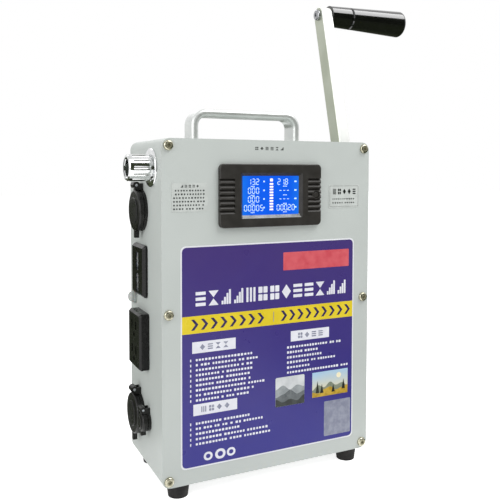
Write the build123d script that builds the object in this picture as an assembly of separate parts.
from build123d import *
from math import acos, cos, pi, radians, sin, sqrt, tan
import os

# Hand crank generator, built in millimetres.
# +X is the crank side, +Y the back, +Z up. The origin is on the floor, under the middle of the case.

# ---------------------------------------------------------------- case
CASE_WIDTH = 185.0
CASE_DEPTH = 84.0
CASE_HEIGHT = 264.0
CASE_WALL = 2.5
CASE_CORNER_RADIUS = 7.0
PLATE_THICKNESS = 2.0
PLATE_SCREW_INSET = 5.4
SCREW_BOSS_RADIUS = 4.6
MIDDLE_BLOCK_LENGTH = 6.0
PLATE_SCREW_RADIUS = 2.0
PLATE_SCREW_LENGTH = 7.5
PLATE_SCREW_HEAD_RADIUS = 3.8
PLATE_SCREW_HEAD_HEIGHT = 2.2
HEX_KEY_RADIUS = 1.45
HEX_KEY_DEPTH = 1.2
SCREW_CLEARANCE = 0.2

# ---------------------------------------------------------------- feet
FOOT_HEIGHT = 10.0
FOOT_TOP_RADIUS = 9.0
FOOT_BOTTOM_RADIUS = 7.7
FOOT_X = 77.0
FOOT_Y = 33.0
FOOT_RECESS_RADIUS = 4.4
FOOT_RECESS_DEPTH = 6.0
FOOT_SCREW_RADIUS = 2.0
FOOT_SCREW_HEAD_RADIUS = 3.8
FOOT_SCREW_HEAD_HEIGHT = 2.6
FOOT_SCREW_LENGTH = 9.0

# ---------------------------------------------------------------- carry handle
HANDLE_X = -2.7
HANDLE_Y = 8.0
HANDLE_WIDTH = 101.5
HANDLE_RISE = 26.7
HANDLE_STRAP_WIDTH = 20.0
HANDLE_STRAP_THICKNESS = 6.5
HANDLE_BEND_RADIUS = 13.5
HANDLE_EDGE_RADIUS = 3.1
HANDLE_SCREW_SPACING = 11.0
HANDLE_SCREW_RADIUS = 1.5
HANDLE_SCREW_LENGTH = 10.0
HANDLE_SCREW_HEAD_RADIUS = 2.7
HANDLE_SCREW_HEAD_HEIGHT = 1.8

# ---------------------------------------------------------------- labels
LABEL_WIDTH = 155.6
LABEL_HEIGHT = 171.0
LABEL_CENTRE_Z = 107.5
LABEL_CORNER_RADIUS = 4.0
LABEL_THICKNESS = 0.2
LEFT_TAG_SIZE = (29.3, 21.9)
LEFT_TAG_CENTRE = (-70.0, 229.8)
RIGHT_TAG_SIZE = (30.6, 19.3)
RIGHT_TAG_CENTRE = (67.5, 228.7)
TAG_CORNER_RADIUS = 0.6

# ---------------------------------------------------------------- meter
METER_X = -2.0
METER_Z = 230.4
METER_WIDTH = 90.0
METER_HEIGHT = 49.4
METER_FLANGE = 3.7
METER_CORNER_RADIUS = 3.6
METER_BODY_WIDTH = 85.6
METER_BODY_HEIGHT = 44.6
METER_BODY_DEPTH = 22.0
METER_BODY_WALL = 1.6
METER_FIT = 0.3
WINDOW_WIDTH = 50.2
WINDOW_HEIGHT = 30.8
WINDOW_BEVEL = 2.4
WINDOW_DEPTH = 2.7
DISPLAY_MARGIN = 1.6
DISPLAY_THICKNESS = 2.0
GROOVE_COUNT = 7
GROOVE_LENGTH = 12.5
GROOVE_TOP = 1.2
GROOVE_HEIGHT = 2.8
GROOVE_DEPTH = 2.1
GROOVE_PITCH = 4.05
METER_BUTTON_X = 38.3
METER_BUTTON_RADIUS = 2.5
METER_BUTTON_SUNK = 0.1
METER_BUTTON_GAP = 0.3
METER_BUTTON_LAND = 0.8
METER_BUTTON_DEPTH = 2.9
METER_BUTTON_LIP = 0.9
METER_BUTTON_LIP_THICKNESS = 0.4
METER_BUTTON_POCKET = 1.2
BUTTON_REST_GAP = 0.1

# ---------------------------------------------------------------- flap-lid sockets on the left side
SOCKET_Y = 8.0
UPPER_SOCKET_Z = 218.0
LOWER_SOCKET_Y = 16.9
LOWER_SOCKET_Z = 50.4
SOCKET_FLANGE_RADIUS = 16.7
SOCKET_FLANGE = 2.5
SOCKET_BARREL_RADIUS = 13.6
SOCKET_BARREL_LENGTH = 41.0
SOCKET_BORE_RADIUS = 10.6
SOCKET_BORE_DEPTH = 39.0
SOCKET_LID_THICKNESS = 4.0
SOCKET_KNUCKLE_RADIUS = 2.8
SOCKET_KNUCKLE_REACH = 5.6
SOCKET_KNUCKLE_RISE = 20.2
SOCKET_HINGE_WIDTH = 8.0
SOCKET_TAB_DROP = 22.0
SOCKET_TAB_WIDTH = 4.0
SOCKET_PIN_RADIUS = 1.1
JACK_Y = -8.1
JACK_Z = 51.4
JACK_FLANGE_RADIUS = 7.6
JACK_FLANGE = 2.4
JACK_BARREL_RADIUS = 5.8
JACK_BARREL_LENGTH = 22.0
JACK_BORE_RADIUS = 4.1
JACK_BORE_DEPTH = 18.0
JACK_LID_THICKNESS = 4.4
JACK_KNUCKLE_RADIUS = 2.5
JACK_KNUCKLE_REACH = 5.6
JACK_KNUCKLE_RISE = 10.2
JACK_HINGE_WIDTH = 7.6
JACK_TAB_DROP = 10.6
JACK_TAB_WIDTH = 2.8
JACK_PIN_RADIUS = 0.9
LID_GAP = 0.4
LID_PLUG_GAP = 0.8
LID_PLUG_DEPTH = 2.0
PIN_CLEARANCE = 0.05
KNUCKLE_GAP = 0.3
CONTACT_PIN_RADIUS = 3.0
JACK_CONTACT_RADIUS = 1.0

# ---------------------------------------------------------------- charging socket
CHARGE_Y = -18.5
CHARGE_Z = 252.0
CHARGE_FLANGE_RADIUS = 15.0
CHARGE_FLANGE = 2.0
CHARGE_BARREL_RADIUS = 8.0
CHARGE_BARREL_WALL = 1.2
CHARGE_INNER_LENGTH = 16.0
CHARGE_REACH = 20.0
CHARGE_RING_RADIUS = 10.2
CHARGE_RING_START = 3.2
CHARGE_RING_FLUTES = 12
CHARGE_FLUTE_RADIUS = 1.5
CHARGE_PIN_COUNT = 4
CHARGE_PIN_RADIUS = 0.9
CHARGE_PIN_CIRCLE = 3.8
CHARGE_INSERT_BACK = 7.0
CHARGE_PIN_REACH = 5.0
CHARGE_NUT_RADIUS = 11.5
CHARGE_NUT_THICKNESS = 3.0

# ---------------------------------------------------------------- USB panel
USB_Y = 9.5
USB_Z = 169.7
USB_WIDTH = 33.0
USB_HEIGHT = 41.6
USB_REACH = 4.0
USB_CORNER_RADIUS = 2.6
USB_BEVEL = 2.3
USB_BODY_WIDTH = 26.0
USB_BODY_HEIGHT = 35.0
USB_BODY_DEPTH = 20.0
USB_PORT_WIDTH = 6.6
USB_PORT_HEIGHT = 14.4
USB_PORT_WALL = 0.4
USB_PORT_DEPTH = 17.0
USB_PORT_PITCH = 17.2
USB_PORT_DROP = 1.2
USB_TONGUE_THICKNESS = 1.9
USB_TONGUE_HEIGHT = 11.2
USB_TONGUE_OFFSET = 1.0

# ---------------------------------------------------------------- mains outlet
OUTLET_Y = 5.5
OUTLET_Z = 114.5
OUTLET_WIDTH = 32.5
OUTLET_HEIGHT = 45.0
OUTLET_REACH = 8.0
OUTLET_BEVEL = 1.6
OUTLET_CORNER_RADIUS = 2.4
OUTLET_BODY_WIDTH = 28.0
OUTLET_BODY_HEIGHT = 38.0
OUTLET_BODY_DEPTH = 20.0
OUTLET_PITCH = 19.6
OUTLET_SLOT_SPACING = 11.0
OUTLET_SLOT = (2.6, 6.6)
OUTLET_EARTH_RADIUS = 1.9
OUTLET_EARTH_DROP = 5.6
OUTLET_SLOT_DEPTH = 20.0
OUTLET_CONTACT_DEPTH = 3.5

# ---------------------------------------------------------------- power button
POWER_Y = 28.6
POWER_Z = 144.7
POWER_CAP_RADIUS = 4.3
POWER_CAP_REACH = 6.0
POWER_CAP_ROUNDING = 3.0
POWER_COLLAR_RADIUS = 5.6
POWER_COLLAR_REACH = 2.2
POWER_BODY_RADIUS = 5.4
POWER_BODY_LENGTH = 14.0
POWER_GAP = 0.3
POWER_TRAVEL = 1.5
POWER_LIP_RADIUS = 4.85
POWER_LIP_THICKNESS = 2.0
POWER_CHAMBER_RADIUS = 4.95
POWER_CHAMBER_END = 2.0

# ---------------------------------------------------------------- crank
CRANK_Y = 8.0
CRANK_Z = 217.0
CRANK_RADIUS = 192.0
CRANK_LEAN = 14.3
ARM_GAP = 8.0
ARM_THICKNESS = 12.0
ARM_WIDTH = 15.6
ARM_HUB_RADIUS = 13.0
ARM_EDGE = 0.8
SHAFT_RADIUS = 5.0
SHAFT_SQUARE = 7.0
SHAFT_THREAD_RADIUS = 3.0
SHAFT_THREAD_LENGTH = 6.5
CRANK_NUT_RADIUS = 6.0
CRANK_NUT_THICKNESS = 5.0
BUSH_RADIUS = 7.5
SHAFT_CLEARANCE = 0.04
FLANGE_RADIUS = 17.0
FLANGE_THICKNESS = 3.0
FLANGE_NOSE_RADIUS = 10.5
FLANGE_NOSE = 3.5
FLANGE_SCREW_CIRCLE = 13.4
FLANGE_SCREW_RADIUS = 1.5

# ---------------------------------------------------------------- grip
AXLE_RADIUS = 4.0
AXLE_HEAD_RADIUS = 5.2
AXLE_HEAD_HEIGHT = 2.6
GRIP_CLEARANCE = 0.05
COLLAR_LENGTH = 23.0
COLLAR_START_RADIUS = 10.0
COLLAR_END_RADIUS = 10.8
COLLAR_GAP = 0.4
COLLAR_PIN_RADIUS = 1.3
COLLAR_PIN_PLACE = 15.0
GRIP_LENGTH = 64.0
GRIP_END_RADIUS = 13.3
GRIP_ROUND = 3.4
GRIP_RECESS_RADIUS = 8.5
GRIP_RECESS_DEPTH = 8.0
AXLE_FLANGE_RADIUS = 7.0
AXLE_FLANGE_THICKNESS = 2.0

# ---------------------------------------------------------------- gearbox
GEAR_MODULE = 1.0
CRANK_GEAR_TEETH = 56
FIRST_PINION_TEETH = 14
FAST_MODULE = 0.8
SECOND_GEAR_TEETH = 60
SECOND_PINION_TEETH = 15
PRESSURE_ANGLE = 20.0
ADDENDUM = 0.85
DEDENDUM = 1.25
TOOTH_BACKLASH = 0.12
FLANK_POINTS = 4
GEAR_PLATE_THICKNESS = 3.0
GEAR_PLATE_WIDTH = 50.0
GEAR_PLATE_HEIGHT = 134.0
GEAR_PLATE_RADIUS = 6.0
GEAR_PLATE_GAP = 22.0
GEAR_FACE = 6.0
FAST_GEAR_FACE = 5.0
GEAR_SIDE_GAP = 2.5
PLATE_EDGE_TO_POST = 5.5
POST_RADIUS = 4.0
POST_SCREW_RADIUS = 1.6
COUNTERSHAFT_RADIUS = 3.0

# ---------------------------------------------------------------- generator
GENERATOR_RADIUS = 26.0
GENERATOR_LENGTH = 38.0
GENERATOR_WALL = 1.8
STATOR_INNER_RADIUS = 15.0
STATOR_LENGTH = 22.0
STATOR_SLOTS = 12
STATOR_SLOT_RADIUS = 2.0
ROTOR_GAP = 0.5
ROTOR_LENGTH = 20.0
ROTOR_SHAFT_RADIUS = 2.5
ROTOR_POLES = 8

# ---------------------------------------------------------------- battery
CELL_RADIUS = 9.2
CELL_LENGTH = 65.0
CELL_COLUMNS = 6
CELL_ROWS = 4
CELL_PITCH = 19.2
CELL_BUTTON_RADIUS = 2.8
CELL_BUTTON_RISE = 0.8
BATTERY_X = 10.0
HOLDER_THICKNESS = 6.0
HOLDER_INSET = 5.0
HOLDER_MARGIN = 0.8
CELL_CLEARANCE = 0.1

# ---------------------------------------------------------------- electronics and fan
BOARD_WIDTH = 60.0
BOARD_HEIGHT = 96.0
BOARD_THICKNESS = 1.6
BOARD_X = -14.0
BOARD_BOTTOM_Z = 99.0
BOARD_GAP = 8.0
BOARD_POST_RADIUS = 2.5
BOARD_POST_INSET = 4.0
TRANSFORMER_SIZE = (34.0, 26.0, 30.0)
CAPACITOR_RADIUS = 7.0
CAPACITOR_LENGTH = 22.0
HEAT_SINK_WIDTH = 50.0
HEAT_SINK_HEIGHT = 22.0
HEAT_SINK_BASE = 3.0
HEAT_SINK_DEPTH = 20.0
HEAT_SINK_FINS = 8
HEAT_SINK_FIN = 1.6
FAN_SIZE = 40.0
FAN_DEPTH = 10.0
FAN_X = -24.0
FAN_Z = 228.0
FAN_BORE_RADIUS = 18.6
FAN_BLADE_RADIUS = 17.8
FAN_HUB_RADIUS = 8.0
FAN_BLADES = 7
FAN_BLADE_THICKNESS = 1.2
FAN_BLADE_PITCH = 38.0
FAN_SCREW_PITCH = 32.0
VENT_SLOTS = 7
VENT_SLOT_WIDTH = 2.8
VENT_SLOT_PITCH = 5.2

# ---------------------------------------------------------------- planes worked out from the sizes
WALL_X = CASE_WIDTH / 2
CASE_BOTTOM = FOOT_HEIGHT
CASE_TOP = CASE_BOTTOM + CASE_HEIGHT
CASE_MIDDLE = (CASE_BOTTOM + CASE_TOP) / 2
FRONT_Y = -CASE_DEPTH / 2
BACK_Y = CASE_DEPTH / 2
INNER_X = WALL_X - CASE_WALL
FRONT_PLATE_BACK = FRONT_Y + PLATE_THICKNESS
REAR_PLATE_FRONT = BACK_Y - PLATE_THICKNESS
ARM_X = WALL_X + ARM_GAP
ARM_OUTER_X = ARM_X + ARM_THICKNESS
COLLAR_END_X = ARM_OUTER_X + COLLAR_LENGTH
GRIP_X = COLLAR_END_X + COLLAR_GAP
GRIP_END_X = GRIP_X + GRIP_LENGTH
GRIP_Y = CRANK_Y + CRANK_RADIUS * sin(radians(CRANK_LEAN))
GRIP_Z = CRANK_Z + CRANK_RADIUS * cos(radians(CRANK_LEAN))
OUTER_PLATE_X = INNER_X - GEAR_PLATE_THICKNESS
INNER_PLATE_X = OUTER_PLATE_X - GEAR_PLATE_GAP - GEAR_PLATE_THICKNESS
COUNTER_Z = CRANK_Z - GEAR_MODULE * (CRANK_GEAR_TEETH + FIRST_PINION_TEETH) / 2
GENERATOR_Z = COUNTER_Z - FAST_MODULE * (SECOND_GEAR_TEETH + SECOND_PINION_TEETH) / 2
BOARD_Y = REAR_PLATE_FRONT - BOARD_GAP - BOARD_THICKNESS


# ---------------------------------------------------------------- small shape helpers
def cylinder_x(radius, x0, x1, y, z):
    return Pos((x0 + x1) / 2, y, z) * Rot(0, 90, 0) * Cylinder(radius, abs(x1 - x0))


def cylinder_y(radius, x, y0, y1, z):
    return Pos(x, (y0 + y1) / 2, z) * Rot(90, 0, 0) * Cylinder(radius, abs(y1 - y0))


def cylinder_z(radius, x, y, z0, z1):
    return Pos(x, y, (z0 + z1) / 2) * Cylinder(radius, abs(z1 - z0))


def block(x0, x1, y0, y1, z0, z1):
    return Pos((x0 + x1) / 2, (y0 + y1) / 2, (z0 + z1) / 2) * Box(abs(x1 - x0), abs(y1 - y0), abs(z1 - z0))


def facing_side(x, y, z):
    """A sketch plane looking along +X, with the sketch's own x along Y."""
    return Plane(origin=(x, y, z), x_dir=(0, 1, 0), z_dir=(1, 0, 0))


def facing_front(x, y, z):
    """A sketch plane looking along -Y, with the sketch's own x along X."""
    return Plane(origin=(x, y, z), x_dir=(1, 0, 0), z_dir=(0, -1, 0))


def side_plate(width, height, corner, x0, x1, y, z):
    return extrude(facing_side(x0, y, z) * RectangleRounded(width, height, corner), amount=x1 - x0)


def front_slab(width, height, corner, x, y0, y1, z):
    return extrude(facing_front(x, y1, z) * RectangleRounded(width, height, corner), amount=y1 - y0)


def hexagon_x(radius, x0, x1, y, z):
    return extrude(facing_side(x0, y, z) * RegularPolygon(radius, 6), amount=x1 - x0)


def hexagon_y(radius, x, y0, y1, z):
    return extrude(facing_front(x, y1, z) * RegularPolygon(radius, 6), amount=y1 - y0)


def lean_back(shape):
    """Turn an upright crank piece about the crank shaft to where the crank rests."""
    return shape.rotate(Axis((0, CRANK_Y, CRANK_Z), (1, 0, 0)), -CRANK_LEAN)


def write(node, *solids):
    pieces = []
    for item in solids:
        pieces.extend(item.solids())
    shape = pieces[0] if len(pieces) == 1 else Compound(children=pieces)
    export_step(shape, "parts/" + node + ".step")
    print(node, len(pieces))


# ---------------------------------------------------------------- case
def plate_screw_places():
    x = WALL_X - PLATE_SCREW_INSET
    low = CASE_BOTTOM + PLATE_SCREW_INSET
    high = CASE_TOP - PLATE_SCREW_INSET
    return [(side * x, z) for side in (-1, 1) for z in (low, CASE_MIDDLE, high)]


def foot_places():
    return [(sx * FOOT_X, sy * FOOT_Y) for sx in (-1, 1) for sy in (-1, 1)]


def handle_screw_places():
    leg = HANDLE_WIDTH / 2 - HANDLE_STRAP_THICKNESS / 2
    half = HANDLE_SCREW_SPACING / 2
    return [(HANDLE_X + sx * leg, HANDLE_Y + sy * half) for sx in (-1, 1) for sy in (-1, 1)]


def enclosure_body():
    y0 = FRONT_PLATE_BACK
    y1 = REAR_PLATE_FRONT
    body = front_slab(CASE_WIDTH, CASE_HEIGHT, CASE_CORNER_RADIUS, 0, y0, y1, CASE_MIDDLE)
    body -= front_slab(CASE_WIDTH - 2 * CASE_WALL, CASE_HEIGHT - 2 * CASE_WALL,
                       CASE_CORNER_RADIUS - CASE_WALL, 0, y0 - 1, y1 + 1, CASE_MIDDLE)
    for x, z in plate_screw_places():
        side = 1 if x > 0 else -1
        wall = side * (WALL_X - CASE_WALL / 2)
        if z == CASE_MIDDLE:
            for start, end in ((y0, y0 + MIDDLE_BLOCK_LENGTH), (y1 - MIDDLE_BLOCK_LENGTH, y1)):
                body += cylinder_y(SCREW_BOSS_RADIUS, x, start, end, z)
                body += block(x, wall, start, end, z - SCREW_BOSS_RADIUS, z + SCREW_BOSS_RADIUS)
        else:
            body += cylinder_y(SCREW_BOSS_RADIUS, x, y0, y1, z)
        body -= cylinder_y(PLATE_SCREW_RADIUS, x, y0 - 1, y1 + 1, z)
    for x, y in foot_places():
        body -= cylinder_z(FOOT_SCREW_RADIUS, x, y, CASE_BOTTOM - 1, CASE_BOTTOM + CASE_WALL + 1)
    for x, y in handle_screw_places():
        body -= cylinder_z(HANDLE_SCREW_RADIUS + SCREW_CLEARANCE, x, y, CASE_TOP - CASE_WALL - 1, CASE_TOP + 1)
    for y, z in ((SOCKET_Y, UPPER_SOCKET_Z), (LOWER_SOCKET_Y, LOWER_SOCKET_Z)):
        body -= left_hole(SOCKET_BARREL_RADIUS, y, z)
    body -= left_hole(JACK_BARREL_RADIUS, JACK_Y, JACK_Z)
    body -= left_hole(CHARGE_BARREL_RADIUS, CHARGE_Y, CHARGE_Z)
    body -= left_hole(POWER_BODY_RADIUS, POWER_Y, POWER_Z)
    body -= block(-WALL_X - 1, -INNER_X + 1, USB_Y - USB_BODY_WIDTH / 2, USB_Y + USB_BODY_WIDTH / 2,
                  USB_Z - USB_BODY_HEIGHT / 2, USB_Z + USB_BODY_HEIGHT / 2)
    body -= block(-WALL_X - 1, -INNER_X + 1, OUTLET_Y - OUTLET_BODY_WIDTH / 2, OUTLET_Y + OUTLET_BODY_WIDTH / 2,
                  OUTLET_Z - OUTLET_BODY_HEIGHT / 2, OUTLET_Z + OUTLET_BODY_HEIGHT / 2)
    body -= cylinder_x(BUSH_RADIUS, INNER_X - 1, WALL_X + 1, CRANK_Y, CRANK_Z)
    for y, z in flange_screw_places():
        body -= cylinder_x(FLANGE_SCREW_RADIUS, INNER_X - 1, WALL_X + 1, y, z)
    return body


def left_hole(radius, y, z):
    return cylinder_x(radius, -WALL_X - 1, -INNER_X + 1, y, z)


def cover_plate(y0, y1):
    plate = front_slab(CASE_WIDTH, CASE_HEIGHT, CASE_CORNER_RADIUS, 0, y0, y1, CASE_MIDDLE)
    for x, z in plate_screw_places():
        plate -= cylinder_y(PLATE_SCREW_RADIUS + SCREW_CLEARANCE, x, y0 - 1, y1 + 1, z)
    return plate


def front_plate():
    plate = cover_plate(FRONT_Y, FRONT_PLATE_BACK)
    plate -= block(METER_X - METER_BODY_WIDTH / 2, METER_X + METER_BODY_WIDTH / 2, FRONT_Y - 1,
                   FRONT_PLATE_BACK + 1, METER_Z - METER_BODY_HEIGHT / 2, METER_Z + METER_BODY_HEIGHT / 2)
    return plate


def rear_plate():
    plate = cover_plate(REAR_PLATE_FRONT, BACK_Y)
    for i in range(VENT_SLOTS):
        z = FAN_Z + (i - (VENT_SLOTS - 1) / 2) * VENT_SLOT_PITCH
        offset = abs(z - FAN_Z)
        half = sqrt(FAN_BORE_RADIUS ** 2 - offset ** 2) - 1
        plate -= block(FAN_X - half, FAN_X + half, REAR_PLATE_FRONT - 1, BACK_Y + 1,
                       z - VENT_SLOT_WIDTH / 2, z + VENT_SLOT_WIDTH / 2)
    return plate


def plate_screws(face_y, inward):
    """Button-head screws: inward is +1 behind the front plate and -1 behind the rear plate."""
    screws = []
    for x, z in plate_screw_places():
        outer = face_y - inward * PLATE_SCREW_HEAD_HEIGHT
        head = cylinder_y(PLATE_SCREW_HEAD_RADIUS, x, outer, face_y, z)
        rim = head.edges().sort_by(Axis.Y)[0 if inward > 0 else -1]
        head = fillet(rim, PLATE_SCREW_HEAD_HEIGHT * 0.7)
        shank = cylinder_y(PLATE_SCREW_RADIUS, x, face_y, face_y + inward * PLATE_SCREW_LENGTH, z)
        start = min(outer, outer + inward * HEX_KEY_DEPTH)
        key = hexagon_y(HEX_KEY_RADIUS, x, start, start + HEX_KEY_DEPTH, z)
        screws.append(head + shank - key)
    return screws


def rubber_feet():
    feet = []
    for x, y in foot_places():
        foot = Pos(x, y, FOOT_HEIGHT / 2) * Cone(FOOT_BOTTOM_RADIUS, FOOT_TOP_RADIUS, FOOT_HEIGHT)
        foot -= cylinder_z(FOOT_RECESS_RADIUS, x, y, -1, FOOT_RECESS_DEPTH)
        foot -= cylinder_z(FOOT_SCREW_RADIUS, x, y, 0, FOOT_HEIGHT + 1)
        feet.append(foot)
    return feet


def foot_screws():
    screws = []
    for x, y in foot_places():
        head_bottom = FOOT_RECESS_DEPTH - FOOT_SCREW_HEAD_HEIGHT
        screw = cylinder_z(FOOT_SCREW_HEAD_RADIUS, x, y, head_bottom, FOOT_RECESS_DEPTH)
        screw += cylinder_z(FOOT_SCREW_RADIUS, x, y, FOOT_RECESS_DEPTH, FOOT_RECESS_DEPTH + FOOT_SCREW_LENGTH)
        screw -= Pos(x, y, head_bottom) * extrude(RegularPolygon(HEX_KEY_RADIUS, 6), amount=HEX_KEY_DEPTH)
        screws.append(screw)
    return screws


def bow_outline(width, rise, bend):
    sketch = facing_front(HANDLE_X, 0, CASE_TOP + rise / 2) * Rectangle(width, rise)
    top = sketch.vertices().sort_by(Axis.Z)[-2:]
    return fillet(top, bend)


def carry_handle():
    half = HANDLE_STRAP_WIDTH / 2
    outer = extrude(bow_outline(HANDLE_WIDTH, HANDLE_RISE, HANDLE_BEND_RADIUS), amount=half, both=True)
    inner = extrude(bow_outline(HANDLE_WIDTH - 2 * HANDLE_STRAP_THICKNESS, HANDLE_RISE - HANDLE_STRAP_THICKNESS,
                                HANDLE_BEND_RADIUS - HANDLE_STRAP_THICKNESS), amount=half + 1, both=True)
    handle = Pos(0, HANDLE_Y, 0) * (outer - inner)
    rims = []
    for face in (handle.faces().sort_by(Axis.Y)[0], handle.faces().sort_by(Axis.Y)[-1]):
        rims.extend(e for e in face.edges() if e.center().Z > CASE_TOP + 0.01)
    handle = fillet(rims, HANDLE_EDGE_RADIUS)
    for x, y in handle_screw_places():
        handle -= cylinder_z(HANDLE_SCREW_RADIUS, x, y, CASE_TOP - 1, CASE_TOP + HANDLE_SCREW_LENGTH)
    return handle


def carry_handle_screws():
    screws = []
    under = CASE_TOP - CASE_WALL
    for x, y in handle_screw_places():
        screw = cylinder_z(HANDLE_SCREW_HEAD_RADIUS, x, y, under - HANDLE_SCREW_HEAD_HEIGHT, under)
        screw += cylinder_z(HANDLE_SCREW_RADIUS, x, y, under, under + HANDLE_SCREW_LENGTH)
        screws.append(screw)
    return screws


def front_label():
    return front_slab(LABEL_WIDTH, LABEL_HEIGHT, LABEL_CORNER_RADIUS, 0, FRONT_Y - LABEL_THICKNESS, FRONT_Y,
                      LABEL_CENTRE_Z)


def small_labels():
    tags = []
    for size, centre in ((LEFT_TAG_SIZE, LEFT_TAG_CENTRE), (RIGHT_TAG_SIZE, RIGHT_TAG_CENTRE)):
        tags.append(front_slab(size[0], size[1], TAG_CORNER_RADIUS, centre[0], FRONT_Y - LABEL_THICKNESS,
                               FRONT_Y, centre[1]))
    return tags


# ---------------------------------------------------------------- meter
def meter_groove(side, z):
    """One finger groove, open at the bezel's side edge, with a steep top and a sloping underside."""
    face = FRONT_Y - METER_FLANGE
    edge = METER_X + side * METER_WIDTH / 2
    outline = Polyline((face - 0.5, z + GROOVE_TOP), (face + GROOVE_DEPTH, z + GROOVE_TOP - 0.3),
                       (face - 0.5, z + GROOVE_TOP - GROOVE_HEIGHT - 0.6), close=True)
    start = edge + side if side > 0 else edge - 1 + GROOVE_LENGTH + 1
    plane = Plane(origin=(start, 0, 0), x_dir=(0, 1, 0), z_dir=(1, 0, 0))
    return extrude(plane * make_face(outline), amount=-GROOVE_LENGTH - 1)


def meter_bezel():
    face = FRONT_Y - METER_FLANGE
    bezel = front_slab(METER_WIDTH, METER_HEIGHT, METER_CORNER_RADIUS, METER_X, face, FRONT_Y, METER_Z)
    bezel = chamfer(bezel.faces().sort_by(Axis.Y)[0].edges(), 0.6)
    hole = METER_BUTTON_RADIUS + METER_BUTTON_GAP
    land = cylinder_y(hole + METER_BUTTON_LAND, METER_BUTTON_X, face, FRONT_Y, METER_Z)
    for side in (-1, 1):
        for i in range(GROOVE_COUNT):
            groove = meter_groove(side, METER_Z + (i - (GROOVE_COUNT - 1) / 2) * GROOVE_PITCH)
            bezel -= groove - land if side > 0 else groove
    wide = RectangleRounded(WINDOW_WIDTH + 2 * WINDOW_BEVEL, WINDOW_HEIGHT + 2 * WINDOW_BEVEL, 1.2)
    narrow = RectangleRounded(WINDOW_WIDTH, WINDOW_HEIGHT, 0.6)
    bezel -= loft([facing_front(METER_X, face, METER_Z) * wide,
                   facing_front(METER_X, face + WINDOW_DEPTH, METER_Z) * narrow])
    pocket = WINDOW_HEIGHT + 2 * DISPLAY_MARGIN
    bezel -= front_slab(WINDOW_WIDTH + 2 * DISPLAY_MARGIN, pocket, 0.8, METER_X, face + WINDOW_DEPTH,
                        FRONT_Y + 1, METER_Z)
    bezel -= cylinder_y(hole, METER_BUTTON_X, face - 1, FRONT_Y + 1, METER_Z)
    lip = hole + METER_BUTTON_LIP
    return bezel - cylinder_y(lip, METER_BUTTON_X, FRONT_Y - METER_BUTTON_POCKET, FRONT_Y + 1, METER_Z)


def meter_display():
    face = FRONT_Y - METER_FLANGE + WINDOW_DEPTH
    return front_slab(WINDOW_WIDTH + 2 * DISPLAY_MARGIN, WINDOW_HEIGHT + 2 * DISPLAY_MARGIN, 0.8, METER_X, face,
                      face + DISPLAY_THICKNESS, METER_Z)


def meter_button():
    front = FRONT_Y - METER_FLANGE + METER_BUTTON_SUNK
    lip = FRONT_Y - METER_BUTTON_POCKET + BUTTON_REST_GAP
    button = cylinder_y(METER_BUTTON_RADIUS, METER_BUTTON_X, front, front + METER_BUTTON_DEPTH, METER_Z)
    button = fillet(button.edges().sort_by(Axis.Y)[0], 0.9)
    return button + cylinder_y(METER_BUTTON_RADIUS + METER_BUTTON_LIP, METER_BUTTON_X, lip,
                               lip + METER_BUTTON_LIP_THICKNESS, METER_Z)


def meter_housing():
    y1 = FRONT_Y + METER_BODY_DEPTH
    housing = front_slab(METER_BODY_WIDTH - METER_FIT, METER_BODY_HEIGHT - METER_FIT, 1.5, METER_X, FRONT_Y, y1,
                         METER_Z)
    housing -= front_slab(METER_BODY_WIDTH - METER_FIT - 2 * METER_BODY_WALL,
                          METER_BODY_HEIGHT - METER_FIT - 2 * METER_BODY_WALL, 0.8, METER_X, FRONT_Y - 1,
                          y1 - METER_BODY_WALL, METER_Z)
    return housing


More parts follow.
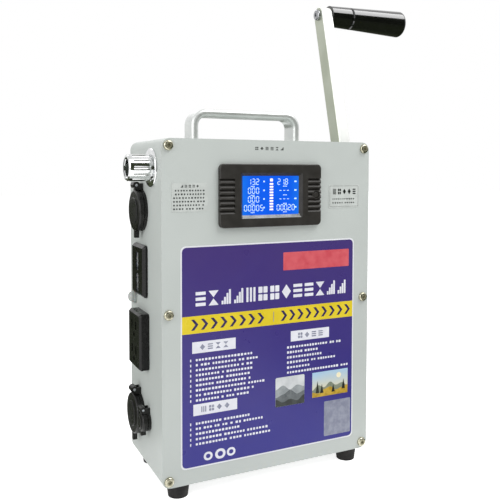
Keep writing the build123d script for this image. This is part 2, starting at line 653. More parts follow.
# ---------------------------------------------------------------- flap-lid sockets
class FlapSocket:
    """A round socket on the left wall, with a lid hinged above it on a pin along Y."""

    def __init__(self, y, z, size):
        self.y = y
        self.z = z
        (self.flange_radius, self.flange, self.barrel_radius, self.barrel_length, self.bore_radius,
         self.bore_depth, self.lid_thickness, self.knuckle_radius, self.knuckle_reach, self.knuckle_rise,
         self.hinge_width, self.tab_drop, self.tab_width, self.pin_radius) = size
        self.face_x = -WALL_X - self.flange
        self.hinge_x = -WALL_X - self.knuckle_reach
        self.hinge_z = z + self.knuckle_rise
        self.lid_half = self.hinge_width * 0.3

    def housing(self):
        body = cylinder_x(self.flange_radius, self.face_x, -WALL_X, self.y, self.z)
        body += cylinder_x(self.barrel_radius, -WALL_X, -WALL_X + self.barrel_length, self.y, self.z)
        for side in (-1, 1):
            y0 = self.y + side * (self.lid_half + KNUCKLE_GAP)
            y1 = self.y + side * self.hinge_width / 2
            body += cylinder_y(self.knuckle_radius, self.hinge_x, y0, y1, self.hinge_z)
            body += block(self.hinge_x, -WALL_X, y0, y1, self.z + self.flange_radius * 0.7,
                          self.hinge_z + self.knuckle_radius * 0.5)
        body -= cylinder_x(self.bore_radius, self.face_x - 1, self.face_x + self.bore_depth, self.y, self.z)
        body -= cylinder_y(self.pin_radius, self.hinge_x, self.y - self.hinge_width, self.y + self.hinge_width,
                           self.hinge_z)
        lid_x = self.face_x - LID_GAP
        clear = self.flange_radius + LID_GAP
        body -= cylinder_x(clear, lid_x - self.lid_thickness - 4, self.face_x, self.y, self.z)
        return body

    def lid(self):
        inner = self.face_x - LID_GAP
        outer = inner - self.lid_thickness
        disc = cylinder_x(self.flange_radius, outer, inner, self.y, self.z)
        disc = fillet(disc.edges().sort_by(Axis.X)[0], self.lid_thickness * 0.45)
        raised = cylinder_x(self.flange_radius * 0.62, outer - 0.8, outer + 1, self.y, self.z)
        lid = disc + fillet(raised.edges().sort_by(Axis.X)[0], 0.6)
        lid += cylinder_x(self.bore_radius - LID_PLUG_GAP, inner, inner + LID_GAP + LID_PLUG_DEPTH, self.y, self.z)
        lid += block(outer + 0.6, inner, self.y - self.lid_half, self.y + self.lid_half,
                     self.z + self.flange_radius * 0.8, self.hinge_z)
        lid += cylinder_y(self.knuckle_radius, self.hinge_x, self.y - self.lid_half, self.y + self.lid_half,
                          self.hinge_z)
        lid += block(outer + 0.6, inner, self.y - self.tab_width / 2, self.y + self.tab_width / 2,
                     self.z - self.tab_drop, self.z - self.flange_radius * 0.8)
        lid -= cylinder_y(self.pin_radius + PIN_CLEARANCE, self.hinge_x, self.y - self.hinge_width,
                          self.y + self.hinge_width, self.hinge_z)
        return lid

    def pin(self):
        return cylinder_y(self.pin_radius, self.hinge_x, self.y - self.hinge_width / 2,
                          self.y + self.hinge_width / 2, self.hinge_z)

    def contact(self, radius, length):
        end = self.face_x + self.bore_depth
        return cylinder_x(radius, end - length, end, self.y, self.z)


LIGHTER_SIZE = (SOCKET_FLANGE_RADIUS, SOCKET_FLANGE, SOCKET_BARREL_RADIUS, SOCKET_BARREL_LENGTH,
                SOCKET_BORE_RADIUS, SOCKET_BORE_DEPTH, SOCKET_LID_THICKNESS, SOCKET_KNUCKLE_RADIUS,
                SOCKET_KNUCKLE_REACH, SOCKET_KNUCKLE_RISE, SOCKET_HINGE_WIDTH, SOCKET_TAB_DROP,
                SOCKET_TAB_WIDTH, SOCKET_PIN_RADIUS)
JACK_SIZE = (JACK_FLANGE_RADIUS, JACK_FLANGE, JACK_BARREL_RADIUS, JACK_BARREL_LENGTH, JACK_BORE_RADIUS,
             JACK_BORE_DEPTH, JACK_LID_THICKNESS, JACK_KNUCKLE_RADIUS, JACK_KNUCKLE_REACH, JACK_KNUCKLE_RISE,
             JACK_HINGE_WIDTH, JACK_TAB_DROP, JACK_TAB_WIDTH, JACK_PIN_RADIUS)


# ---------------------------------------------------------------- charging socket
def charging_socket_shell():
    face = -WALL_X - CHARGE_FLANGE
    shell = cylinder_x(CHARGE_FLANGE_RADIUS, face, -WALL_X, CHARGE_Y, CHARGE_Z)
    shell = fillet(shell.edges().sort_by(Axis.X)[0], CHARGE_FLANGE * 0.6)
    shell += cylinder_x(CHARGE_BARREL_RADIUS, -WALL_X - CHARGE_REACH + 1, -WALL_X + CHARGE_INNER_LENGTH,
                        CHARGE_Y, CHARGE_Z)
    shell -= cylinder_x(CHARGE_BARREL_RADIUS - CHARGE_BARREL_WALL, -WALL_X - CHARGE_REACH - 1,
                        -WALL_X + CHARGE_INNER_LENGTH + 1, CHARGE_Y, CHARGE_Z)
    return shell


def charging_socket_ring():
    x0 = -WALL_X - CHARGE_REACH
    x1 = -WALL_X - CHARGE_RING_START
    ring = cylinder_x(CHARGE_RING_RADIUS, x0, x1, CHARGE_Y, CHARGE_Z)
    ring = chamfer(ring.edges().sort_by(Axis.X)[0], 0.8)
    for i in range(CHARGE_RING_FLUTES):
        angle = 2 * pi * i / CHARGE_RING_FLUTES
        y = CHARGE_Y + (CHARGE_RING_RADIUS + CHARGE_FLUTE_RADIUS * 0.3) * cos(angle)
        z = CHARGE_Z + (CHARGE_RING_RADIUS + CHARGE_FLUTE_RADIUS * 0.3) * sin(angle)
        ring -= cylinder_x(CHARGE_FLUTE_RADIUS, x0 + 3.5, x1 + 1, y, z)
    return ring - cylinder_x(CHARGE_BARREL_RADIUS, x0 - 1, x1 + 1, CHARGE_Y, CHARGE_Z)


def charging_socket_insert():
    """The insulator, and the contact pins standing in it."""
    radius = CHARGE_BARREL_RADIUS - CHARGE_BARREL_WALL
    front = -WALL_X - CHARGE_INSERT_BACK
    insulator = cylinder_x(radius, front, -WALL_X + CHARGE_INNER_LENGTH - 2, CHARGE_Y, CHARGE_Z)
    pins = []
    for i in range(CHARGE_PIN_COUNT):
        angle = 2 * pi * (i + 0.5) / CHARGE_PIN_COUNT
        y = CHARGE_Y + CHARGE_PIN_CIRCLE * cos(angle)
        z = CHARGE_Z + CHARGE_PIN_CIRCLE * sin(angle)
        pin = cylinder_x(CHARGE_PIN_RADIUS, front - CHARGE_PIN_REACH, -WALL_X + CHARGE_INNER_LENGTH, y, z)
        insulator -= pin
        pins.append(pin)
    return [insulator] + pins


def charging_socket_nut():
    nut = hexagon_x(CHARGE_NUT_RADIUS, -INNER_X, -INNER_X + CHARGE_NUT_THICKNESS, CHARGE_Y, CHARGE_Z)
    return nut - cylinder_x(CHARGE_BARREL_RADIUS, -INNER_X - 1, -INNER_X + CHARGE_NUT_THICKNESS + 1, CHARGE_Y,
                            CHARGE_Z)


# ---------------------------------------------------------------- USB panel
def usb_port_centres():
    return [USB_Z - USB_PORT_DROP + side * USB_PORT_PITCH / 2 for side in (-1, 1)]


def usb_panel():
    face = -WALL_X - USB_REACH
    panel = side_plate(USB_WIDTH, USB_HEIGHT, USB_CORNER_RADIUS, face, -WALL_X, USB_Y, USB_Z)
    panel = chamfer(panel.faces().sort_by(Axis.X)[0].edges(), USB_BEVEL)
    panel += side_plate(USB_BODY_WIDTH, USB_BODY_HEIGHT, 0.5, -WALL_X, -WALL_X + USB_BODY_DEPTH, USB_Y, USB_Z)
    for z in usb_port_centres():
        panel -= block(face - 1, face + USB_PORT_DEPTH, USB_Y - USB_PORT_WIDTH / 2, USB_Y + USB_PORT_WIDTH / 2,
                       z - USB_PORT_HEIGHT / 2, z + USB_PORT_HEIGHT / 2)
    return panel


def usb_ports():
    shells = []
    face = -WALL_X - USB_REACH + 0.6
    end = -WALL_X - USB_REACH + USB_PORT_DEPTH
    for z in usb_port_centres():
        shell = block(face, end, USB_Y - USB_PORT_WIDTH / 2, USB_Y + USB_PORT_WIDTH / 2,
                      z - USB_PORT_HEIGHT / 2, z + USB_PORT_HEIGHT / 2)
        wall = USB_PORT_WALL
        shell -= block(face - 1, end - wall, USB_Y - USB_PORT_WIDTH / 2 + wall,
                       USB_Y + USB_PORT_WIDTH / 2 - wall, z - USB_PORT_HEIGHT / 2 + wall,
                       z + USB_PORT_HEIGHT / 2 - wall)
        shells.append(shell)
    return shells


def usb_tongues():
    tongues = []
    face = -WALL_X - USB_REACH + 2.0
    end = -WALL_X - USB_REACH + USB_PORT_DEPTH - USB_PORT_WALL
    y = USB_Y + USB_TONGUE_OFFSET
    for z in usb_port_centres():
        tongues.append(block(face, end, y - USB_TONGUE_THICKNESS / 2, y + USB_TONGUE_THICKNESS / 2,
                             z - USB_TONGUE_HEIGHT / 2, z + USB_TONGUE_HEIGHT / 2))
    return tongues


# ---------------------------------------------------------------- mains outlet
def outlet_centres():
    return [OUTLET_Z + side * OUTLET_PITCH / 2 for side in (-1, 1)]


def outlet_housing():
    face = -WALL_X - OUTLET_REACH
    housing = side_plate(OUTLET_WIDTH, OUTLET_HEIGHT, OUTLET_CORNER_RADIUS, face, -WALL_X, OUTLET_Y, OUTLET_Z)
    housing = chamfer(housing.faces().sort_by(Axis.X)[0].edges(), OUTLET_BEVEL)
    housing += side_plate(OUTLET_BODY_WIDTH, OUTLET_BODY_HEIGHT, 0.5, -WALL_X, -WALL_X + OUTLET_BODY_DEPTH,
                          OUTLET_Y, OUTLET_Z)
    end = face + OUTLET_SLOT_DEPTH
    for z in outlet_centres():
        for side in (-1, 1):
            y = OUTLET_Y + side * OUTLET_SLOT_SPACING / 2
            housing -= block(face - 1, end, y - OUTLET_SLOT[0] / 2, y + OUTLET_SLOT[0] / 2,
                             z - OUTLET_SLOT[1] / 2 + 2, z + OUTLET_SLOT[1] / 2 + 2)
        housing -= cylinder_x(OUTLET_EARTH_RADIUS, face - 1, end, OUTLET_Y, z - OUTLET_EARTH_DROP)
    return housing


def outlet_contacts():
    contacts = []
    start = -WALL_X - OUTLET_REACH + OUTLET_CONTACT_DEPTH
    end = -WALL_X - OUTLET_REACH + OUTLET_SLOT_DEPTH
    for z in outlet_centres():
        for side in (-1, 1):
            y = OUTLET_Y + side * OUTLET_SLOT_SPACING / 2
            outer = y + side * OUTLET_SLOT[0] / 2
            contacts.append(block(start, end, outer - side * 0.8, outer, z - OUTLET_SLOT[1] / 2 + 2,
                                  z + OUTLET_SLOT[1] / 2 + 2))
        contacts.append(cylinder_x(OUTLET_EARTH_RADIUS, end - 2, end, OUTLET_Y, z - OUTLET_EARTH_DROP))
    return contacts


# ---------------------------------------------------------------- power button
def power_button():
    outer = -WALL_X - POWER_CAP_REACH
    inner = power_chamber_end() - POWER_TRAVEL - 0.5
    cap = cylinder_x(POWER_CAP_RADIUS, outer, inner, POWER_Y, POWER_Z)
    cap = fillet(cap.edges().sort_by(Axis.X)[0], POWER_CAP_ROUNDING)
    return cap + cylinder_x(POWER_LIP_RADIUS, inner - POWER_LIP_THICKNESS, inner, POWER_Y, POWER_Z)


def power_button_collar():
    outer = -WALL_X - POWER_COLLAR_REACH
    collar = cylinder_x(POWER_COLLAR_RADIUS, outer, -WALL_X, POWER_Y, POWER_Z)
    collar += cylinder_x(POWER_BODY_RADIUS, -WALL_X, -WALL_X + POWER_BODY_LENGTH, POWER_Y, POWER_Z)
    collar -= cylinder_x(POWER_CAP_RADIUS + POWER_GAP, outer - 1, power_chamber_end(), POWER_Y, POWER_Z)
    start = power_chamber_end() - POWER_TRAVEL - 0.5 - POWER_LIP_THICKNESS - BUTTON_REST_GAP
    return collar - cylinder_x(POWER_CHAMBER_RADIUS, start, power_chamber_end(), POWER_Y, POWER_Z)


def power_chamber_end():
    return -WALL_X + POWER_BODY_LENGTH - POWER_CHAMBER_END


# ---------------------------------------------------------------- crank
def flange_screw_places():
    places = []
    for i in range(4):
        angle = pi / 4 + i * pi / 2
        places.append((CRANK_Y + FLANGE_SCREW_CIRCLE * cos(angle), CRANK_Z + FLANGE_SCREW_CIRCLE * sin(angle)))
    return places


def bearing_flange():
    """The outer bearing housing and the four screws through it."""
    flange = cylinder_x(FLANGE_RADIUS, WALL_X, WALL_X + FLANGE_THICKNESS, CRANK_Y, CRANK_Z)
    flange = fillet(flange.edges().sort_by(Axis.X)[-1], 0.8)
    flange += cylinder_x(FLANGE_NOSE_RADIUS, WALL_X + FLANGE_THICKNESS, WALL_X + FLANGE_THICKNESS + FLANGE_NOSE,
                         CRANK_Y, CRANK_Z)
    flange -= cylinder_x(BUSH_RADIUS, WALL_X - 1, ARM_X, CRANK_Y, CRANK_Z)
    screws = []
    for y, z in flange_screw_places():
        screw = cylinder_x(FLANGE_SCREW_RADIUS, OUTER_PLATE_X, WALL_X + FLANGE_THICKNESS, y, z)
        flange -= screw
        screw += cylinder_x(FLANGE_SCREW_RADIUS * 1.8, WALL_X + FLANGE_THICKNESS,
                            WALL_X + FLANGE_THICKNESS + 1.6, y, z)
        screws.append(screw)
    return [flange] + screws


def crank_bushes():
    bushes = []
    spans = ((OUTER_PLATE_X, WALL_X + FLANGE_THICKNESS + FLANGE_NOSE),
             (INNER_PLATE_X - 4, INNER_PLATE_X + GEAR_PLATE_THICKNESS))
    for x0, x1 in spans:
        bush = cylinder_x(BUSH_RADIUS, x0, x1, CRANK_Y, CRANK_Z)
        bushes.append(bush - cylinder_x(SHAFT_RADIUS + SHAFT_CLEARANCE, x0 - 1, x1 + 1, CRANK_Y, CRANK_Z))
    return bushes


def crank_square(x0, x1):
    return extrude(facing_side(x0, CRANK_Y, CRANK_Z) * Rectangle(SHAFT_SQUARE, SHAFT_SQUARE), amount=x1 - x0)


def crank_shaft():
    shaft = cylinder_x(SHAFT_RADIUS, INNER_PLATE_X - 4, ARM_X, CRANK_Y, CRANK_Z)
    shaft += crank_square(ARM_X, ARM_OUTER_X)
    shaft += cylinder_x(SHAFT_THREAD_RADIUS, ARM_OUTER_X, ARM_OUTER_X + SHAFT_THREAD_LENGTH, CRANK_Y, CRANK_Z)
    return lean_back(shaft)


def crank_arm():
    plane = facing_side(ARM_X, CRANK_Y, CRANK_Z)
    bar = extrude(plane * Pos(0, CRANK_RADIUS / 2) * Rectangle(ARM_WIDTH, CRANK_RADIUS), amount=ARM_THICKNESS)
    bar += cylinder_x(ARM_WIDTH / 2, ARM_X, ARM_OUTER_X, CRANK_Y, CRANK_Z + CRANK_RADIUS)
    bar += cylinder_x(ARM_HUB_RADIUS, ARM_X, ARM_OUTER_X, CRANK_Y, CRANK_Z)
    sides = list(bar.faces().sort_by(Axis.X)[0].edges()) + list(bar.faces().sort_by(Axis.X)[-1].edges())
    bar = chamfer(sides, ARM_EDGE)
    bar -= crank_square(ARM_X - 1, ARM_OUTER_X + 1)
    bar -= cylinder_x(AXLE_RADIUS, ARM_X - 1, ARM_OUTER_X + 1, CRANK_Y, CRANK_Z + CRANK_RADIUS)
    return lean_back(bar)


def crank_nut():
    x1 = ARM_OUTER_X + CRANK_NUT_THICKNESS
    nut = hexagon_x(CRANK_NUT_RADIUS, ARM_OUTER_X, x1, CRANK_Y, CRANK_Z)
    return lean_back(nut - cylinder_x(SHAFT_THREAD_RADIUS, ARM_OUTER_X - 1, x1 + 1, CRANK_Y, CRANK_Z))


# ---------------------------------------------------------------- grip
def grip_axle():
    flange_x = GRIP_END_X - GRIP_RECESS_DEPTH + 0.2
    axle = cylinder_x(AXLE_HEAD_RADIUS, ARM_X - AXLE_HEAD_HEIGHT, ARM_X, GRIP_Y, GRIP_Z)
    axle = fillet(axle.edges().sort_by(Axis.X)[0], AXLE_HEAD_HEIGHT * 0.5)
    axle += cylinder_x(AXLE_RADIUS, ARM_X, flange_x + AXLE_FLANGE_THICKNESS, GRIP_Y, GRIP_Z)
    axle += cylinder_x(AXLE_FLANGE_RADIUS, flange_x, flange_x + AXLE_FLANGE_THICKNESS, GRIP_Y, GRIP_Z)
    axle -= hexagon_x(HEX_KEY_RADIUS * 1.4, ARM_X - AXLE_HEAD_HEIGHT, ARM_X - AXLE_HEAD_HEIGHT + 1.6, GRIP_Y,
                      GRIP_Z)
    return axle - collar_pin()


def collar_pin():
    x = ARM_OUTER_X + COLLAR_PIN_PLACE
    return cylinder_z(COLLAR_PIN_RADIUS, x, GRIP_Y, GRIP_Z - COLLAR_START_RADIUS + 0.5,
                      GRIP_Z + COLLAR_START_RADIUS - 0.2)


def turned(outline):
    """A solid of revolution about the grip's axis, from points of distance along X and radius."""
    points = [(x, GRIP_Z + r) for x, r in outline]
    face = make_face(Plane(origin=(0, GRIP_Y, 0), x_dir=(1, 0, 0), z_dir=(0, -1, 0))
                     * Polyline(*points, close=True))
    return revolve(face, Axis((0, GRIP_Y, GRIP_Z), (1, 0, 0)), 360)


def grip_collar():
    collar = turned([(ARM_OUTER_X, AXLE_RADIUS), (COLLAR_END_X, AXLE_RADIUS),
                     (COLLAR_END_X, COLLAR_END_RADIUS - 0.7), (COLLAR_END_X - 1.2, COLLAR_END_RADIUS),
                     (ARM_OUTER_X, COLLAR_START_RADIUS)])
    return collar - collar_pin()


def hand_grip():
    bore = AXLE_RADIUS + GRIP_CLEARANCE
    shape = turned([(GRIP_X, bore), (GRIP_END_X, bore), (GRIP_END_X, GRIP_END_RADIUS),
                    (GRIP_X + 1.2, COLLAR_END_RADIUS), (GRIP_X, COLLAR_END_RADIUS - 0.7)])
    rim = shape.edges().filter_by(GeomType.CIRCLE).group_by(Axis.X)[-1].sort_by(SortBy.RADIUS)[-1]
    shape = fillet(rim, GRIP_ROUND)
    return shape - cylinder_x(GRIP_RECESS_RADIUS, GRIP_END_X - GRIP_RECESS_DEPTH, GRIP_END_X + 1, GRIP_Y,
                              GRIP_Z)


# ---------------------------------------------------------------- gears
def involute(angle):
    return tan(angle) - angle


def gear_outline(teeth, module, middle_tooth):
    """Outline of a spur gear; middle_tooth is the angle of one tooth's middle, in radians."""
    pitch = teeth * module / 2
    base = pitch * cos(radians(PRESSURE_ANGLE))
    tip = pitch + ADDENDUM * module
    root = pitch - DEDENDUM * module
    half = pi / (2 * teeth) - TOOTH_BACKLASH / (2 * pitch) + involute(radians(PRESSURE_ANGLE))
    flank = []
    if root < base:
        flank.append((root, half))
    start = max(root, base)
    for i in range(FLANK_POINTS):
        r = start + (tip - start) * i / (FLANK_POINTS - 1)
        flank.append((r, half - involute(acos(min(1.0, base / r)))))
    points = []
    for tooth in range(teeth):
        middle = middle_tooth + 2 * pi * tooth / teeth
        for r, angle in flank:
            points.append((r * cos(middle - angle), r * sin(middle - angle)))
        for r, angle in reversed(flank):
            points.append((r * cos(middle + angle), r * sin(middle + angle)))
    return points


def spur_gear(teeth, module, middle_tooth, x0, x1, z, bore):
    outline = Polyline(*gear_outline(teeth, module, middle_tooth), close=True)
    gear = extrude(facing_side(x0, CRANK_Y, z) * make_face(outline), amount=x1 - x0)
    return gear - cylinder_x(bore, x0 - 1, x1 + 1, CRANK_Y, z)


SLOW_X0 = OUTER_PLATE_X - GEAR_SIDE_GAP - GEAR_FACE
SLOW_X1 = OUTER_PLATE_X - GEAR_SIDE_GAP
FAST_X0 = INNER_PLATE_X + GEAR_PLATE_THICKNESS + GEAR_SIDE_GAP
FAST_X1 = FAST_X0 + FAST_GEAR_FACE


def crank_gear():
    gear = spur_gear(CRANK_GEAR_TEETH, GEAR_MODULE, -pi / 2, SLOW_X0, SLOW_X1, CRANK_Z, SHAFT_RADIUS)
    for i in range(6):
        angle = pi / 6 + i * pi / 3
        ring = GEAR_MODULE * CRANK_GEAR_TEETH / 2 * 0.58
        gear -= cylinder_x(4.5, SLOW_X0 - 1, SLOW_X1 + 1, CRANK_Y + ring * cos(angle), CRANK_Z + ring * sin(angle))
    hub = cylinder_x(SHAFT_RADIUS * 1.8, SLOW_X0 - 3, SLOW_X0, CRANK_Y, CRANK_Z)
    return gear + (hub - cylinder_x(SHAFT_RADIUS, SLOW_X0 - 4, SLOW_X0 + 1, CRANK_Y, CRANK_Z))


def intermediate_gear():
    bore = COUNTERSHAFT_RADIUS + SHAFT_CLEARANCE
    gear = spur_gear(SECOND_GEAR_TEETH, FAST_MODULE, -pi / 2, FAST_X0, FAST_X1, COUNTER_Z, bore)
    for i in range(6):
        angle = i * pi / 3
        ring = FAST_MODULE * SECOND_GEAR_TEETH / 2 * 0.6
        gear -= cylinder_x(4.0, FAST_X0 - 1, FAST_X1 + 1, CRANK_Y + ring * cos(angle),
                           COUNTER_Z + ring * sin(angle))
    return gear


def intermediate_pinion():
    bore = COUNTERSHAFT_RADIUS + SHAFT_CLEARANCE
    phase = pi / 2 + pi / FIRST_PINION_TEETH
    pinion = spur_gear(FIRST_PINION_TEETH, GEAR_MODULE, phase, SLOW_X0, SLOW_X1, COUNTER_Z, bore)
    sleeve = cylinder_x(COUNTERSHAFT_RADIUS * 1.7, FAST_X1, SLOW_X0, CRANK_Y, COUNTER_Z)
    return pinion + (sleeve - cylinder_x(bore, FAST_X1 - 1, SLOW_X0 + 1, CRANK_Y, COUNTER_Z))


def generator_pinion():
    phase = pi / 2 + pi / SECOND_PINION_TEETH
    return spur_gear(SECOND_PINION_TEETH, FAST_MODULE, phase, FAST_X0, FAST_X1, GENERATOR_Z, ROTOR_SHAFT_RADIUS)


def post_places():
    half_y = GEAR_PLATE_WIDTH / 2 - PLATE_EDGE_TO_POST
    half_z = GEAR_PLATE_HEIGHT / 2 - PLATE_EDGE_TO_POST
    middle = gear_plate_middle()
    return [(CRANK_Y + sy * half_y, middle + sz * half_z) for sy in (-1, 1) for sz in (-1, 1)]


def gear_plate_middle():
    return (CRANK_Z + GENERATOR_Z) / 2


def gear_plate(x0, x1):
    plate = side_plate(GEAR_PLATE_WIDTH, GEAR_PLATE_HEIGHT, GEAR_PLATE_RADIUS, x0, x1, CRANK_Y,
                       gear_plate_middle())
    plate -= cylinder_x(BUSH_RADIUS, x0 - 1, x1 + 1, CRANK_Y, CRANK_Z)
    plate -= cylinder_x(COUNTERSHAFT_RADIUS, x0 - 1, x1 + 1, CRANK_Y, COUNTER_Z)
    for y, z in post_places():
        plate -= cylinder_x(POST_SCREW_RADIUS, x0 - 1, x1 + 1, y, z)
    return plate


def gear_plate_outer():
    plate = gear_plate(OUTER_PLATE_X, INNER_X)
    for y, z in flange_screw_places():
        plate -= cylinder_x(FLANGE_SCREW_RADIUS, OUTER_PLATE_X - 1, INNER_X + 1, y, z)
    return plate


def gear_plate_inner():
    plate = gear_plate(INNER_PLATE_X, INNER_PLATE_X + GEAR_PLATE_THICKNESS)
    return plate - cylinder_x(ROTOR_SHAFT_RADIUS + 2, INNER_PLATE_X - 1, INNER_PLATE_X + GEAR_PLATE_THICKNESS + 1,
                              CRANK_Y, GENERATOR_Z)


def gearbox_standoffs():
    posts = []
    for y, z in post_places():
        post = cylinder_x(POST_RADIUS, INNER_PLATE_X + GEAR_PLATE_THICKNESS, OUTER_PLATE_X, y, z)
        post += cylinder_x(POST_SCREW_RADIUS, OUTER_PLATE_X, INNER_X, y, z)
        post += cylinder_x(POST_SCREW_RADIUS, INNER_PLATE_X - 1.5, INNER_PLATE_X + GEAR_PLATE_THICKNESS, y, z)
        post += cylinder_x(POST_SCREW_RADIUS * 1.8, INNER_PLATE_X - 1.5, INNER_PLATE_X, y, z)
        posts.append(post)
    return posts


def intermediate_shaft():
    return cylinder_x(COUNTERSHAFT_RADIUS, INNER_PLATE_X, INNER_X, CRANK_Y, COUNTER_Z)


# ---------------------------------------------------------------- generator
GENERATOR_X = INNER_PLATE_X - GENERATOR_LENGTH
ROTOR_MIDDLE_X = INNER_PLATE_X - GENERATOR_LENGTH / 2


def generator_housing():
    can = cylinder_x(GENERATOR_RADIUS, GENERATOR_X, INNER_PLATE_X, CRANK_Y, GENERATOR_Z)
    can -= cylinder_x(GENERATOR_RADIUS - GENERATOR_WALL, GENERATOR_X + GENERATOR_WALL,
                      INNER_PLATE_X - GENERATOR_WALL, CRANK_Y, GENERATOR_Z)
    return can - cylinder_x(ROTOR_SHAFT_RADIUS + SHAFT_CLEARANCE, GENERATOR_X - 1, INNER_PLATE_X + 1, CRANK_Y,
                            GENERATOR_Z)


def generator_stator():
    x0 = ROTOR_MIDDLE_X - STATOR_LENGTH / 2
    x1 = ROTOR_MIDDLE_X + STATOR_LENGTH / 2
    stator = cylinder_x(GENERATOR_RADIUS - GENERATOR_WALL, x0, x1, CRANK_Y, GENERATOR_Z)
    stator -= cylinder_x(STATOR_INNER_RADIUS, x0 - 1, x1 + 1, CRANK_Y, GENERATOR_Z)
    middle = (STATOR_INNER_RADIUS + GENERATOR_RADIUS - GENERATOR_WALL) / 2
    for i in range(STATOR_SLOTS):
        angle = 2 * pi * i / STATOR_SLOTS
        stator -= cylinder_x(STATOR_SLOT_RADIUS, x0 - 1, x1 + 1, CRANK_Y + middle * cos(angle),
                             GENERATOR_Z + middle * sin(angle))
    return stator


def generator_rotor():
    """The magnet drum and, through it, the shaft."""
    x0 = ROTOR_MIDDLE_X - ROTOR_LENGTH / 2
    x1 = ROTOR_MIDDLE_X + ROTOR_LENGTH / 2
    drum = cylinder_x(STATOR_INNER_RADIUS - ROTOR_GAP, x0, x1, CRANK_Y, GENERATOR_Z)
    for i in range(ROTOR_POLES):
        angle = 2 * pi * (i + 0.5) / ROTOR_POLES
        drum -= cylinder_x(0.7, x0 - 1, x1 + 1, CRANK_Y + (STATOR_INNER_RADIUS - ROTOR_GAP) * cos(angle),
                           GENERATOR_Z + (STATOR_INNER_RADIUS - ROTOR_GAP) * sin(angle))
    return drum + cylinder_x(ROTOR_SHAFT_RADIUS, GENERATOR_X, FAST_X1 + 1, CRANK_Y, GENERATOR_Z)


# ---------------------------------------------------------------- battery
def cell_places():
    low_z = CASE_BOTTOM + CASE_WALL + HOLDER_MARGIN + CELL_PITCH / 2
    left_x = BATTERY_X - (CELL_COLUMNS - 1) * CELL_PITCH / 2
    return [(left_x + i * CELL_PITCH, low_z + j * CELL_PITCH)
            for i in range(CELL_COLUMNS) for j in range(CELL_ROWS)]


def battery_cells():
    cells = []
    half = CELL_LENGTH / 2
    for x, z in cell_places():
        cell = cylinder_y(CELL_RADIUS, x, -half, half - CELL_BUTTON_RISE, z)
        cells.append(cell + cylinder_y(CELL_BUTTON_RADIUS, x, half - CELL_BUTTON_RISE, half, z))
    return cells


def battery_holders():
    holders = []
    width = CELL_COLUMNS * CELL_PITCH + 2 * HOLDER_MARGIN
    height = CELL_ROWS * CELL_PITCH + 2 * HOLDER_MARGIN
    middle_z = CASE_BOTTOM + CASE_WALL + height / 2
    for side in (-1, 1):
        outer = side * (CELL_LENGTH / 2 - HOLDER_INSET)
        inner = outer - side * HOLDER_THICKNESS
        holder = front_slab(width, height, 2.0, BATTERY_X, min(outer, inner), max(outer, inner), middle_z)
        for x, z in cell_places():
            holder -= cylinder_y(CELL_RADIUS + CELL_CLEARANCE, x, min(outer, inner) - 1, max(outer, inner) + 1, z)
        holders.append(holder)
    return holders


# ---------------------------------------------------------------- electronics
def inverter_board():
    """The circuit board, its posts, the transformer and the smoothing capacitors."""
    top = BOARD_BOTTOM_Z + BOARD_HEIGHT
    left = BOARD_X - BOARD_WIDTH / 2
    right = BOARD_X + BOARD_WIDTH / 2
    board = block(left, right, BOARD_Y, BOARD_Y + BOARD_THICKNESS, BOARD_BOTTOM_Z, top)
    pieces = []
    for x in (left + BOARD_POST_INSET, right - BOARD_POST_INSET):
        for z in (BOARD_BOTTOM_Z + BOARD_POST_INSET, top - BOARD_POST_INSET):
            pieces.append(cylinder_y(BOARD_POST_RADIUS, x, BOARD_Y + BOARD_THICKNESS, REAR_PLATE_FRONT, z))
    width, depth, height = TRANSFORMER_SIZE
    z0 = BOARD_BOTTOM_Z + HEAT_SINK_HEIGHT + 8
    pieces.append(block(left + 4, left + 4 + width, BOARD_Y - depth, BOARD_Y, z0, z0 + height))
    for i in range(3):
        z = z0 + CAPACITOR_RADIUS + i * (2 * CAPACITOR_RADIUS + 2)
        pieces.append(cylinder_y(CAPACITOR_RADIUS, right - CAPACITOR_RADIUS - 2, BOARD_Y - CAPACITOR_LENGTH,
                                 BOARD_Y, z))
    return [board] + pieces


def heat_sink():
    x0 = BOARD_X - HEAT_SINK_WIDTH / 2
    z0 = BOARD_BOTTOM_Z + 3
    sink = block(x0, x0 + HEAT_SINK_WIDTH, BOARD_Y - HEAT_SINK_BASE, BOARD_Y, z0, z0 + HEAT_SINK_HEIGHT)
    for i in range(HEAT_SINK_FINS):
        x = x0 + i * (HEAT_SINK_WIDTH - HEAT_SINK_FIN) / (HEAT_SINK_FINS - 1)
        sink += block(x, x + HEAT_SINK_FIN, BOARD_Y - HEAT_SINK_DEPTH, BOARD_Y - HEAT_SINK_BASE, z0,
                      z0 + HEAT_SINK_HEIGHT)
    return sink


def fan_frame():
    y0 = REAR_PLATE_FRONT - FAN_DEPTH
    frame = front_slab(FAN_SIZE, FAN_SIZE, 2.0, FAN_X, y0, REAR_PLATE_FRONT, FAN_Z)
    frame -= cylinder_y(FAN_BORE_RADIUS, FAN_X, y0 - 1, REAR_PLATE_FRONT + 1, FAN_Z)
    for sx in (-1, 1):
        for sz in (-1, 1):
            frame -= cylinder_y(1.7, FAN_X + sx * FAN_SCREW_PITCH / 2, y0 - 1, REAR_PLATE_FRONT + 1,
                                FAN_Z + sz * FAN_SCREW_PITCH / 2)
    bridge = block(FAN_X - FAN_BORE_RADIUS - 0.5, FAN_X + FAN_BORE_RADIUS + 0.5, y0, y0 + 1.5, FAN_Z - 2, FAN_Z + 2)
    spindle = cylinder_y(1.5, FAN_X, y0, REAR_PLATE_FRONT - 1, FAN_Z)
    return frame + bridge + spindle


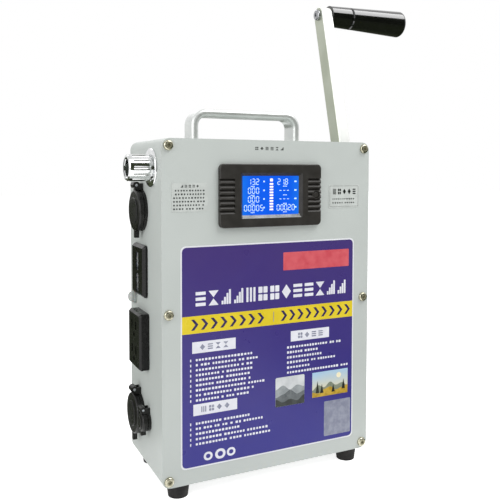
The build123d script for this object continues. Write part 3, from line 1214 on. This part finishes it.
def fan_rotor():
    y0 = REAR_PLATE_FRONT - FAN_DEPTH + 2.5
    y1 = REAR_PLATE_FRONT - 1
    middle = (y0 + y1) / 2
    rotor = cylinder_y(FAN_HUB_RADIUS, FAN_X, y0, y1, FAN_Z)
    length = FAN_BLADE_RADIUS - FAN_HUB_RADIUS + 1
    chord = (y1 - y0) * 0.9
    for i in range(FAN_BLADES):
        blade = Pos(FAN_HUB_RADIUS - 1 + length / 2, 0, 0) * Rot(FAN_BLADE_PITCH, 0, 0)
        blade = blade * Box(length, chord, FAN_BLADE_THICKNESS)
        rotor += Pos(FAN_X, middle, FAN_Z) * Rot(0, i * 360 / FAN_BLADES, 0) * blade
    return rotor - cylinder_y(1.5 + SHAFT_CLEARANCE, FAN_X, y0 - 1, y1 + 1, FAN_Z)


# ---------------------------------------------------------------- write every node
os.makedirs("parts", exist_ok=True)

upper = FlapSocket(SOCKET_Y, UPPER_SOCKET_Z, LIGHTER_SIZE)
lower = FlapSocket(LOWER_SOCKET_Y, LOWER_SOCKET_Z, LIGHTER_SIZE)
jack = FlapSocket(JACK_Y, JACK_Z, JACK_SIZE)

write("enclosure_body", enclosure_body())
write("front_plate", front_plate())
write("rear_plate", rear_plate())
write("front_plate_screws", *plate_screws(FRONT_Y, 1))
write("rear_plate_screws", *plate_screws(BACK_Y, -1))
write("rubber_feet", *rubber_feet())
write("foot_screws", *foot_screws())
write("carry_handle", carry_handle())
write("carry_handle_screws", *carry_handle_screws())
write("front_label", front_label())
write("small_labels", *small_labels())
write("meter_bezel", meter_bezel())
write("meter_display", meter_display())
write("meter_button", meter_button())
write("meter_housing", meter_housing())
write("charging_socket_shell", charging_socket_shell())
write("charging_socket_ring", charging_socket_ring())
write("charging_socket_insert", *charging_socket_insert())
write("charging_socket_nut", charging_socket_nut())
write("upper_socket_housing", upper.housing())
write("upper_socket_lid", upper.lid())
write("lower_socket_housing", lower.housing())
write("lower_socket_lid", lower.lid())
write("jack_housing", jack.housing())
write("jack_lid", jack.lid())
write("socket_hinge_pins", upper.pin(), lower.pin(), jack.pin())
write("socket_contacts", upper.contact(CONTACT_PIN_RADIUS, 3), lower.contact(CONTACT_PIN_RADIUS, 3),
      jack.contact(JACK_CONTACT_RADIUS, 10))
write("usb_panel", usb_panel())
write("usb_ports", *usb_ports())
write("usb_tongues", *usb_tongues())
write("outlet_housing", outlet_housing())
write("outlet_contacts", *outlet_contacts())
write("power_button", power_button())
write("power_button_collar", power_button_collar())
write("bearing_flange", *bearing_flange())
write("crank_bushes", *crank_bushes())
write("crank_shaft", crank_shaft())
write("crank_arm", crank_arm())
write("crank_nut", crank_nut())
write("grip_axle", grip_axle())
write("grip_collar", grip_collar())
write("collar_pin", collar_pin())
write("hand_grip", hand_grip())
write("crank_gear", crank_gear())
write("intermediate_gear", intermediate_gear())
write("intermediate_pinion", intermediate_pinion())
write("intermediate_shaft", intermediate_shaft())
write("generator_pinion", generator_pinion())
write("gear_plate_outer", gear_plate_outer())
write("gear_plate_inner", gear_plate_inner())
write("gearbox_standoffs", *gearbox_standoffs())
write("generator_housing", generator_housing())
write("generator_stator", generator_stator())
write("generator_rotor", generator_rotor())
write("battery_cells", *battery_cells())
write("battery_holders", *battery_holders())
write("inverter_board", *inverter_board())
write("heat_sink", heat_sink())
write("fan_frame", fan_frame())
write("fan_rotor", fan_rotor())
